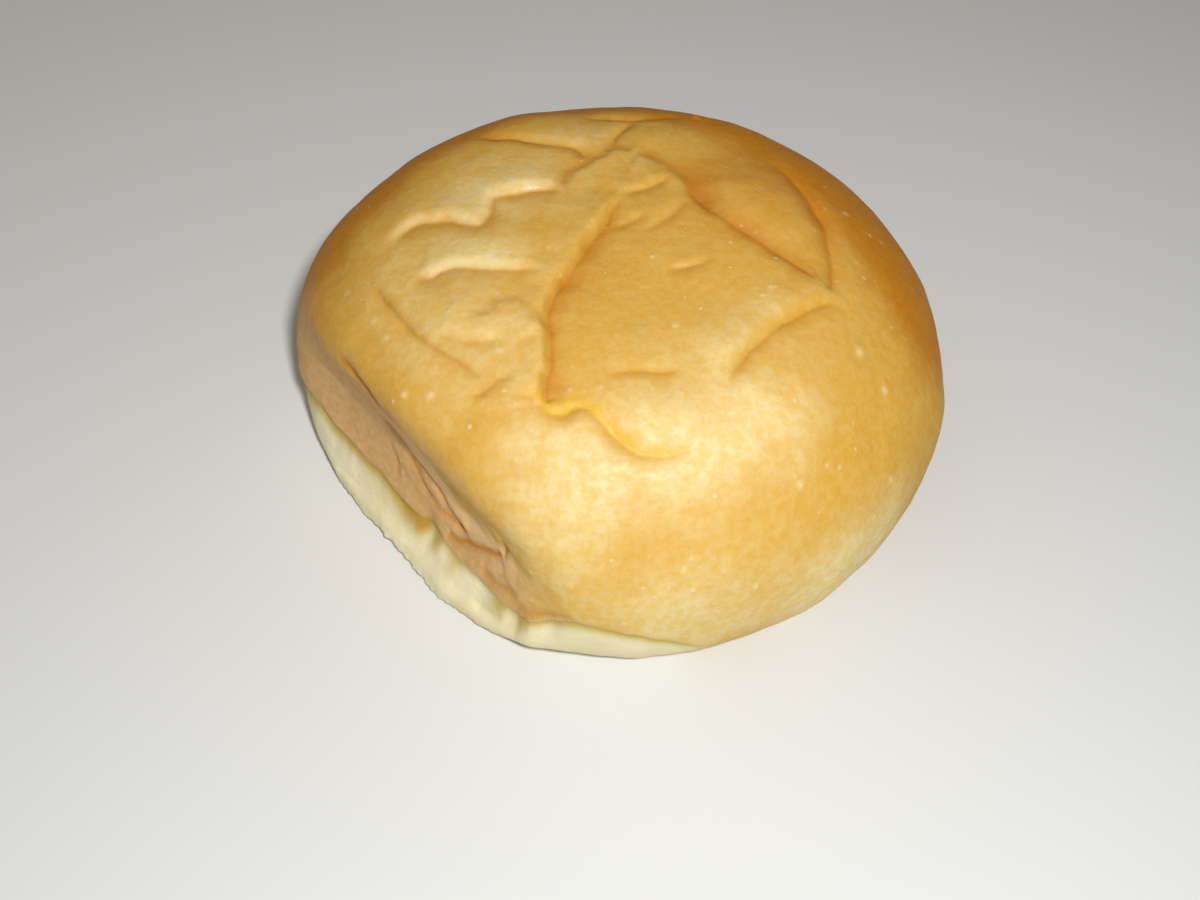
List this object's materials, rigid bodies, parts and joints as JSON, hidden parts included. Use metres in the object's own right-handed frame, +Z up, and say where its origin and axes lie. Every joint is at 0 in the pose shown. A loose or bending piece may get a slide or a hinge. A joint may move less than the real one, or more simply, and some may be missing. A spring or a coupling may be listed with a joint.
{
  "type": "cream bun",
  "caption": "Soft round bread bun with a flat base, a sunken, wrinkled golden top and one side pressed flat above a pale bare rim.",
  "frame": {"origin": "middle of the flat underside, on the surface that the bun rests on", "axes": "+Z up through the top of the bun, -Y towards the front, with the pressed side at the front left (-X, -Y)"},
  "size_m": [0.1082, 0.1061, 0.0442],
  "materials": {
    "crust": "satin"
  },
  "bodies": {
    "root": {"bun": "crust"}
  },
  "joints": []
}
